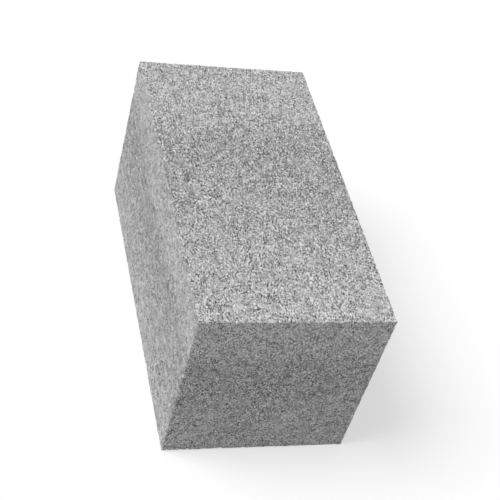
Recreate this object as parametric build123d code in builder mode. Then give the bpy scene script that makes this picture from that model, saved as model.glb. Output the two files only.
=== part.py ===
"""Solid concrete masonry block, pressed in a mould as one piece and lying on its lower bed face.

X runs along the length, from one head face to the other. Y runs across the width, which is the
thickness of the wall that the block builds. Z runs up. The origin is the centre of the lower bed.
"""

import os

from build123d import *

# Driving dimensions, in millimetres
length = 400.0  # between the two head faces
width = 200.0  # between the two wall faces
height = 200.0  # between the two bed faces
corner_radius = 1.5  # the four upright edges, as the corners of the mould box leave them
arris_radius = 1.0  # the edges round both beds, where the pallet and the tamper press

os.makedirs("parts", exist_ok=True)

# The block: its plan is pressed straight through the mould, and both beds have eased arrises
with BuildPart() as block:
    with BuildSketch(Plane.XY):
        RectangleRounded(length, width, corner_radius)
    extrude(amount=height)
    by_height = block.edges().group_by(Axis.Z)
    fillet(by_height[0] + by_height[-1], radius=arris_radius)

block.part.label = "block"
export_step(block.part, "parts/block.step")
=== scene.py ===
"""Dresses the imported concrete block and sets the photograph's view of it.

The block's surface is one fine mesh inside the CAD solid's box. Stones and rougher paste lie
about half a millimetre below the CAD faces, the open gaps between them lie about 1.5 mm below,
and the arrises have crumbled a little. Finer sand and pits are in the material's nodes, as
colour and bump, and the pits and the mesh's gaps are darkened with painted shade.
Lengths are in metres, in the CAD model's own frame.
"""

import math

import bpy
import numpy as np
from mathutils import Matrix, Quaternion, Vector


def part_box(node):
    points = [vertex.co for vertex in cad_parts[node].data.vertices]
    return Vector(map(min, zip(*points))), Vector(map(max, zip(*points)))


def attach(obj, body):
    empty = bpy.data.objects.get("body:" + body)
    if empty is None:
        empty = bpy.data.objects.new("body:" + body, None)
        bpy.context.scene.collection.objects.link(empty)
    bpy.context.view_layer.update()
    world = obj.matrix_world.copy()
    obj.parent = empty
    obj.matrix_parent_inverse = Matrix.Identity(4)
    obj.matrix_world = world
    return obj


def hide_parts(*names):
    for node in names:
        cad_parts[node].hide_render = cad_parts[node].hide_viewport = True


mm = 0.001
white = (1.0, 1.0, 1.0, 1.0)

# The photograph's view, solved from the seven corners of the block that it shows
camera_place = Vector((0.8857, -0.3777, 0.9784))
camera_aim = Vector((0.0042, 0.0141, 0.1000))
camera_roll = math.radians(17.69)
lens_mm = 84.12
sensor_mm = 36.0

# Light: a plain dome and one soft lamp, high on the left of the view
dome_light = 0.43
lamp_light = 0.74
lamp_direction = Vector((-0.08, -0.56, 0.825))
lamp_softness = math.radians(35)

# The floor. Where it is seen, floor_glow of its white is light of its own
floor_size = 40.0
floor_shade = 0.64
floor_glow = 0.5

# The surface mesh, which starts as a fine lattice and is thinned out where it shows least
lattice_pitch = 0.8 * mm
edge_radius = 1.0 * mm
most_triangles = 198_000
sharp_edge = math.radians(42)

# Relief of the mesh. All of it is raised by pressed_flat, and what would then stand proud of
# the CAD faces is flat. A slope gives the two values between which a ramp changes, and a bend
# makes round shapes uneven
swell_size = 70 * mm
swell_relief = 0.2 * mm
stone_size = 4.2 * mm
stone_relief = 0.5 * mm
stone_slope = (0.2, 0.7)
stone_bend_size = 2.6 * mm
stone_bend_reach = 1.8 * mm
grit_size = 3.2 * mm
grit_relief = 0.5 * mm
pressed_flat = 0.35 * mm

# Gaps open at gap_start from a stone's heart and are deepest from gap_wall further out, as
# shares of its size. Where the packing is looser they open sooner
gap_start = 0.68
gap_wall = 0.10
gap_depth = 1.1 * mm
packing_size = 14 * mm
packing_change = 0.12

# Arrises. Within slant_band of them the relief goes in aslant, so that the faces that meet
# there don't cut into each other. The crumbling fades over arris_band
slant_band = 4.0 * mm
arris_band = 1.6 * mm
arris_crumble = 0.7 * mm
crumb_size = 5.0 * mm
crumb_slope = (0.0, 0.5)

# Tones run from black at 0 to white at 1 in even steps to the eye, and tone_power turns them
# into shares of light. A contrast is how far a layer changes them. The paste, grains, pits and
# clumps are stretch_along times as long as they are wide
base_tone = 0.678
darkest_tone = 0.22
lightest_tone = 0.885
tone_power = 2.2
stretch_along = 1.5

# Fine layers: the paste and its sand grains, and painted shade in its pits and in the gaps of the
# mesh. All of them are livelier in some places than in others
paste_size = 1.7 * mm
paste_detail = 3.0
paste_coarseness = 0.7
paste_contrast = 1.32
grain_size = 2.2 * mm
grain_slope = (0.15, 0.6)
grain_bend_size = 1.5 * mm
grain_bend_reach = 1.2 * mm
faintest_grain = 0.4
grain_variety = 1.2
grain_contrast = 0.25
pit_size = 1.7 * mm
pit_slope = (0.10, 0.42)
# The pits, and the gaps where the mesh lies deeper, are darkened with painted shade
pit_painted_shade = 1.25
gap_shade_depths = (0.6 * mm, 1.4 * mm)
gap_painted_shade = 0.05
lively_size = 22 * mm
lively_change = 1.0

# Broad layers. On the wall faces the fine layers are fainter and the broad ones stronger
clump_size = 9 * mm
clump_coarseness = 0.6
clump_contrast = 0.15
patch_size = 38 * mm
patch_contrast = 0.03
wall_fine_share = 0.50
wall_broad_share = 1.4

# The darker stretch, by shares of the way across a face. It ends slightly paler than it began
pressing_start = (0.20, 0.37)
pressing_fade = (0.40, 1.0)
pressing_end = -0.15
pressing_bend_size = 45 * mm
pressing_bend = 0.04
pressing_contrast = 0.067

# Sheen and bump of the concrete
concrete_roughness = 0.92
concrete_specular = 0.2
bump_height = 0.4 * mm
paste_bump = 0.6
grain_bump = 0.25
pit_bump = 0.8

# Where a baked picture of the block shows each side, given by its axis and
# end: left, bottom and width, in thirds of the picture. The lower bed is squeezed to half length
picture_places = {
    (1, 0): (0, 0, 2),
    (1, 1): (0, 1, 2),
    (2, 1): (0, 2, 2),
    (0, 0): (2, 0, 1),
    (0, 1): (2, 1, 1),
    (2, 0): (2, 2, 1),
}
picture_margin = 0.004


class Recipe:
    """Adds nodes to a material, a world or geometry nodes. An input is a value or an output."""

    def __init__(self, tree):
        self.tree = tree

    def feed(self, socket, value):
        if isinstance(value, bpy.types.NodeSocket):
            self.tree.links.new(value, socket)
        else:
            socket.default_value = value

    def add(self, kind, inputs, **settings):
        node = self.tree.nodes.new(kind)
        for name, value in settings.items():
            setattr(node, name, value)
        for name, value in inputs.items():
            self.feed(node.inputs[name], value)
        return node.outputs

    def math(self, operation, *values):
        return self.add("ShaderNodeMath", dict(enumerate(values)), operation=operation)[0]

    def vector(self, operation, *values):
        return self.add("ShaderNodeVectorMath", dict(enumerate(values)), operation=operation)[0]

    def scaled(self, vector, factor):
        inputs = {0: vector, "Scale": factor}
        return self.add("ShaderNodeVectorMath", inputs, operation="SCALE")[0]

    def parts(self, vector):
        return self.add("ShaderNodeSeparateXYZ", {"Vector": vector})[:3]

    def grey(self, shade):
        channels = {"Red": shade, "Green": shade, "Blue": shade}
        return self.add("ShaderNodeCombineColor", channels)[0]

    def combined(self, operation, *values):
        """One operation, such as ADD or MINIMUM, over any number of values."""
        result = values[0]
        for value in values[1:]:
            result = self.math(operation, result, value)
        return result

    def weighed(self, pairs):
        """The sum of the values, each times its weight."""
        products = [self.math("MULTIPLY", value, weight) for value, weight in pairs]
        return self.combined("ADD", *products)

    def mix(self, share, first, second):
        inputs = {0: share, 2: first, 3: second}
        return self.add("ShaderNodeMix", inputs, data_type="FLOAT")[0]

    def ramp(self, value, low, high, at_low=0.0, at_high=1.0, kind="SMOOTHSTEP"):
        """at_low up to low, at_high from high on, and a smooth or straight change between them."""
        ends = {"From Min": low, "From Max": high, "To Min": at_low, "To Max": at_high}
        return self.add("ShaderNodeMapRange", {"Value": value} | ends, interpolation_type=kind)[0]

    def noise(self, place, size, detail=2.0, coarseness=0.5):
        """Cloudy noise from about -1 to 1, with swells about size across. Detail is how many
        times finer noise is added, and coarseness is how strong that noise is."""
        inputs = {"Vector": place, "Scale": 1 / size, "Detail": detail, "Roughness": coarseness}
        cloud = self.add("ShaderNodeTexNoise", inputs)["Fac"]
        return self.math("MULTIPLY_ADD", cloud, 2.0, -1.0)

    def raised(self, noise):
        """The same noise, from about 0 to 1."""
        return self.math("MULTIPLY_ADD", noise, 0.5, 0.5)

    def bent(self, place, size, reach):
        """The place moved by up to half of reach along each axis, so that what is drawn there
        is uneven."""
        inputs = {"Vector": place, "Scale": 1 / size, "Detail": 1.0}
        shift = self.add("ShaderNodeTexNoise", inputs)["Color"]
        shift = self.vector("SUBTRACT", shift, (0.5, 0.5, 0.5))
        return self.vector("ADD", place, self.scaled(shift, reach))

    def grains(self, place, size):
        """Random grains about size across: the distance from the nearest grain's heart, as a
        share of size, and a random number from 0 to 1 that the whole grain has."""
        cell = self.add("ShaderNodeTexVoronoi", {"Vector": place, "Scale": 1 / size})
        return cell["Distance"], self.parts(cell["Color"])[0]

    def from_core(self, place, low, high, inset):
        """The nearest point of the box that lies inset deeper, and the direction from it to
        the place."""
        margin = Vector((inset, inset, inset))
        core = self.vector("MAXIMUM", place, low + margin)
        core = self.vector("MINIMUM", core, high - margin)
        return core, self.vector("NORMALIZE", self.vector("SUBTRACT", place, core))

    def depths(self, place, low, high):
        """How far the place lies inside the CAD box's nearer face across X, Y and Z."""
        from_low = self.vector("SUBTRACT", place, low)
        from_high = self.vector("SUBTRACT", high, place)
        return self.parts(self.vector("MINIMUM", from_low, from_high))

    def nearest_is(self, depths, axis):
        """1 where the nearest face lies across the axis, and 0 elsewhere."""
        others = [depth for number, depth in enumerate(depths) if number != axis]
        return self.math("LESS_THAN", depths[axis], self.math("MINIMUM", *others))


def arris_nearness(recipe, depths):
    """1 on an arris, falling to 0 inside a face."""
    smallest = recipe.combined("MINIMUM", *depths)
    largest = recipe.combined("MAXIMUM", *depths)
    outer = recipe.math("ADD", smallest, largest)
    middle = recipe.math("SUBTRACT", recipe.combined("ADD", *depths), outer)
    return recipe.math("EXPONENT", recipe.math("DIVIDE", middle, -arris_band))


def relief(recipe, place, depths):
    """How far the concrete lies below the CAD surface."""
    uneven = recipe.bent(place, stone_bend_size, stone_bend_reach)
    distance, height = recipe.grains(uneven, stone_size)
    dome = recipe.math("MULTIPLY", recipe.ramp(distance, *stone_slope, 1.0, 0.0), height)
    between = recipe.math("SUBTRACT", 1.0, dome)
    packing = recipe.noise(place, packing_size)
    open_from = recipe.math("MULTIPLY_ADD", packing, packing_change, gap_start)
    gap = recipe.ramp(recipe.math("SUBTRACT", distance, open_from), 0.0, gap_wall)

    swell = recipe.raised(recipe.noise(place, swell_size, detail=0.0))
    grit = recipe.raised(recipe.noise(place, grit_size))
    crumbs = recipe.ramp(recipe.noise(place, crumb_size), *crumb_slope)
    crumbs = recipe.math("MULTIPLY", crumbs, arris_nearness(recipe, depths))
    rough = recipe.weighed([
        (swell, swell_relief),
        (between, stone_relief),
        (grit, grit_relief),
        (gap, gap_depth),
        (crumbs, arris_crumble),
    ])
    return recipe.math("MAXIMUM", recipe.math("SUBTRACT", rough, pressed_flat), 0.0)


def surface_nodes(low, high):
    """Geometry nodes that make the block: a fine box, its rounded edges and its relief."""
    tree = bpy.data.node_groups.new("pressed_surface", "GeometryNodeTree")
    tree.interface.new_socket("Geometry", in_out="OUTPUT", socket_type="NodeSocketGeometry")
    recipe = Recipe(tree)
    size = high - low
    counts = {f"Vertices {a}": round(side / lattice_pitch) + 1 for a, side in zip("XYZ", size)}
    box = recipe.add("GeometryNodeMeshCube", {"Size": size} | counts)["Mesh"]

    corner = recipe.add("GeometryNodeInputPosition", {})[0]
    corner = recipe.vector("ADD", corner, (low + high) / 2)
    core, outwards = recipe.from_core(corner, low, high, edge_radius)
    rounded = recipe.vector("ADD", core, recipe.scaled(outwards, edge_radius))

    slanted = recipe.from_core(rounded, low, high, slant_band)[1]
    depth = relief(recipe, rounded, recipe.depths(rounded, low, high))
    place = recipe.vector("SUBTRACT", rounded, recipe.scaled(slanted, depth))
    moved = {"Geometry": box, "Position": place}
    output = tree.nodes.new("NodeGroupOutput")
    recipe.feed(output.inputs[0], recipe.add("GeometryNodeSetPosition", moved)[0])
    return tree


def values_of(items, name, width, kind=float):
    """One property of all the items, with a row for each item."""
    rows = np.empty((len(items), width), kind)
    items.foreach_get(name, rows.ravel())
    return rows


def lay_out(mesh, low, high):
    """Maps each side, seen straight on, to its place on a baked picture of the block."""
    shares = (values_of(mesh.vertices, "co", 3) - low) / (high - low)
    off_centre = (values_of(mesh.polygons, "center", 3) - low) / (high - low) - 0.5
    corners_per_face = values_of(mesh.polygons, "loop_total", 1, int)[:, 0]
    axis = np.repeat(np.abs(off_centre).argmax(axis=1), corners_per_face)
    at_high_end = off_centre.max(axis=1) > -off_centre.min(axis=1)
    at_high_end = np.repeat(at_high_end, corners_per_face)
    corners = shares[values_of(mesh.loops, "vertex_index", 1, int)[:, 0]]

    picture = np.empty((len(corners), 2))
    for (side_axis, side_end), (left, bottom, width) in picture_places.items():
        on_side = (axis == side_axis) & (at_high_end == side_end)
        seen = [other for other in range(3) if other != side_axis]
        start = np.array([left, bottom]) / 3 + picture_margin
        reach = np.array([width, 1]) / 3 - 2 * picture_margin
        picture[on_side] = start + reach * corners[on_side][:, seen]
    mesh.uv_layers.new(name="OFBake").uv.foreach_set("vector", picture.ravel())


def as_modified(block):
    """The block as its modifiers leave it."""
    return block.evaluated_get(bpy.context.evaluated_depsgraph_get())


def make_block(low, high):
    """The block's visible mesh, in the place of its CAD node."""
    bare = bpy.data.meshes.new("bare")
    block = bpy.data.objects.new("concrete_block", bare)
    bpy.context.scene.collection.objects.link(block)
    block.modifiers.new("surface", "NODES").node_group = surface_nodes(low, high)
    lattice_triangles = 2 * len(as_modified(block).data.polygons)
    block.modifiers.new("thin_out", "DECIMATE").ratio = most_triangles / lattice_triangles
    mesh = bpy.data.meshes.new_from_object(as_modified(block))
    block.modifiers.clear()
    block.data = mesh
    bpy.data.meshes.remove(bare)

    mesh.name = "concrete_block"
    mesh.materials.clear()
    inside = np.clip(values_of(mesh.vertices, "co", 3), low, high)
    mesh.vertices.foreach_set("co", inside.ravel())
    mesh.shade_smooth()
    mesh.set_sharp_from_angle(angle=sharp_edge)
    lay_out(mesh, np.array(low), np.array(high))
    return block


def sand(recipe, place):
    """Cement paste, the sand grains that show in it, and the small pits between them."""
    paste = recipe.noise(place, paste_size, paste_detail, paste_coarseness)
    uneven = recipe.bent(place, grain_bend_size, grain_bend_reach)
    distance, own_tone = recipe.grains(uneven, grain_size)
    heart = recipe.ramp(distance, *grain_slope, 1.0, 0.0)
    strength = recipe.math("MULTIPLY_ADD", own_tone, grain_variety, faintest_grain)
    grain = recipe.math("MULTIPLY", heart, strength)
    pit = recipe.ramp(recipe.noise(place, pit_size), *pit_slope)
    return paste, grain, pit


def fine_tone(recipe, place, depths, paste, grain, pit):
    """The change of tone by the sand, and painted shade in its pits and in the mesh's gaps."""
    # Painted shade in hollows: darker where the mesh lies deeper below the CAD faces, and in the
    # pits
    gap = recipe.ramp(recipe.combined("MINIMUM", *depths), *gap_shade_depths)
    tone = recipe.weighed([
        (paste, paste_contrast),
        (grain, grain_contrast),
        (pit, -pit_painted_shade),
        (gap, -gap_painted_shade),
    ])
    change = recipe.noise(place, lively_size, detail=1.0)
    return recipe.math("MULTIPLY", tone, recipe.math("MULTIPLY_ADD", change, lively_change, 1.0))


def broad_tone(recipe, place, stretched):
    """The change of tone by clumps and patches of paler and darker concrete."""
    clumps = recipe.noise(stretched, clump_size, coarseness=clump_coarseness)
    patches = recipe.noise(place, patch_size)
    return recipe.weighed([(clumps, clump_contrast), (patches, patch_contrast)])


def pressing_tone(recipe, place, depths, low, high):
    """The darker stretch across each face, which starts sharply and fades towards the far side."""
    x, y, z = recipe.parts(place)
    down = recipe.ramp(z, low.z, high.z, 1.0, 0.0, kind="LINEAR")
    along = recipe.ramp(x, low.x, high.x, kind="LINEAR")
    across = recipe.mix(recipe.nearest_is(depths, 2), down, along)
    uneven = recipe.noise(place, pressing_bend_size, detail=1.0)
    across = recipe.math("MULTIPLY_ADD", uneven, pressing_bend, across)
    starts = recipe.ramp(across, *pressing_start)
    fades = recipe.ramp(across, *pressing_fade, 1.0, pressing_end, kind="LINEAR")
    dark = recipe.math("MULTIPLY", starts, fades)
    return recipe.math("MULTIPLY_ADD", dark, -pressing_contrast, 0.5 * pressing_contrast)


def concrete_material(low, high):
    """Pressed concrete, placed by the CAD box with the corners low and high."""
    material = bpy.data.materials.new("concrete")
    material.use_nodes = True
    recipe = Recipe(material.node_tree)
    shader = material.node_tree.nodes["Principled BSDF"]
    recipe.feed(shader.inputs["Roughness"], concrete_roughness)
    recipe.feed(shader.inputs["Specular IOR Level"], concrete_specular)

    place = recipe.add("ShaderNodeTexCoord", {})["Object"]
    depths = recipe.depths(place, low, high)
    stretched = recipe.vector("MULTIPLY", place, (1 / stretch_along, 1.0, 1.0))
    paste, grain, pit = sand(recipe, stretched)
    on_wall = recipe.nearest_is(depths, 1)
    fine_share = recipe.mix(on_wall, 1.0, wall_fine_share)
    broad_share = recipe.mix(on_wall, 1.0, wall_broad_share)
    changes = recipe.weighed([
        (fine_tone(recipe, place, depths, paste, grain, pit), fine_share),
        (broad_tone(recipe, place, stretched), broad_share),
        (pressing_tone(recipe, place, depths, low, high), 1.0),
    ])
    tone = recipe.math("ADD", changes, base_tone)
    tone = recipe.math("MINIMUM", recipe.math("MAXIMUM", tone, darkest_tone), lightest_tone)
    colour = recipe.grey(recipe.math("POWER", tone, tone_power))
    recipe.feed(shader.inputs["Base Color"], colour)

    height = recipe.weighed([(grain, grain_bump), (paste, paste_bump), (pit, -pit_bump)])
    bump = {"Height": height, "Distance": bump_height}
    recipe.feed(shader.inputs["Normal"], recipe.add("ShaderNodeBump", bump)[0])
    return material


def seen_rays(recipe):
    """1 for rays from the camera, a mirror or a pane, and 0 for those that carry light."""
    rays = recipe.add("ShaderNodeLightPath", {})
    names = ("Is Camera Ray", "Is Glossy Ray", "Is Transmission Ray")
    return recipe.combined("MAXIMUM", *(rays[name] for name in names))


def floor_material():
    """Partly its own white and partly lit where it is seen, and pale grey for what it returns."""
    material = bpy.data.materials.new("floor")
    material.use_nodes = True
    recipe = Recipe(material.node_tree)
    shader = material.node_tree.nodes["Principled BSDF"]
    recipe.feed(shader.inputs["Roughness"], 1.0)
    recipe.feed(shader.inputs["Specular IOR Level"], 0.0)
    seen = seen_rays(recipe)
    colour = recipe.grey(recipe.mix(seen, floor_shade, 1.0 - floor_glow))
    recipe.feed(shader.inputs["Base Color"], colour)
    recipe.feed(shader.inputs["Emission Color"], white)
    recipe.feed(shader.inputs["Emission Strength"], recipe.math("MULTIPLY", seen, floor_glow))
    return material


def make_floor():
    half = floor_size / 2
    corners = [(-half, -half, 0), (half, -half, 0), (half, half, 0), (-half, half, 0)]
    mesh = bpy.data.meshes.new("floor")
    mesh.from_pydata(corners, [], [(0, 1, 2, 3)])
    mesh.materials.append(floor_material())
    floor = bpy.data.objects.new("floor", mesh)
    bpy.context.scene.collection.objects.link(floor)


def make_light():
    world = bpy.data.worlds.new("studio")
    bpy.context.scene.world = world
    world.use_nodes = True
    recipe = Recipe(world.node_tree)
    background = world.node_tree.nodes["Background"]
    recipe.feed(background.inputs["Color"], white)
    recipe.feed(background.inputs["Strength"], recipe.mix(seen_rays(recipe), dome_light, 1.0))

    lamp_data = bpy.data.lights.new("soft_lamp", "SUN")
    lamp_data.energy = math.pi * lamp_light
    lamp_data.angle = lamp_softness
    lamp = bpy.data.objects.new("soft_lamp", lamp_data)
    lamp.rotation_mode = "QUATERNION"
    lamp.rotation_quaternion = lamp_direction.to_track_quat("Z", "Y")
    bpy.context.scene.collection.objects.link(lamp)


def make_camera():
    camera_data = bpy.data.cameras.new("camera")
    camera_data.lens = lens_mm
    camera_data.sensor_width = sensor_mm
    camera = bpy.data.objects.new("camera", camera_data)
    camera.location = camera_place
    camera.rotation_mode = "QUATERNION"
    level = (camera_aim - camera_place).to_track_quat("-Z", "Y")
    camera.rotation_quaternion = level @ Quaternion((0, 0, 1), camera_roll)
    bpy.context.scene.collection.objects.link(camera)
    bpy.context.scene.camera = camera


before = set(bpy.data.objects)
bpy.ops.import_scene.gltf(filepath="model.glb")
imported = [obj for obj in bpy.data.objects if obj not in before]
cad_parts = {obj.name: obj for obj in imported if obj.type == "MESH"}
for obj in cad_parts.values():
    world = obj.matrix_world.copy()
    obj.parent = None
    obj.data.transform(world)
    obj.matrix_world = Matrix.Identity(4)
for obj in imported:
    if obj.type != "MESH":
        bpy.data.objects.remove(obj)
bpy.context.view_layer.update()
box_low, box_high = (Vector(corner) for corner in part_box("block"))

make_camera()
make_light()
make_floor()

block = make_block(box_low, box_high)
block.data.materials.append(concrete_material(box_low, box_high))
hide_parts("block")
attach(block, "root")

bpy.context.scene.view_settings.view_transform = "Standard"
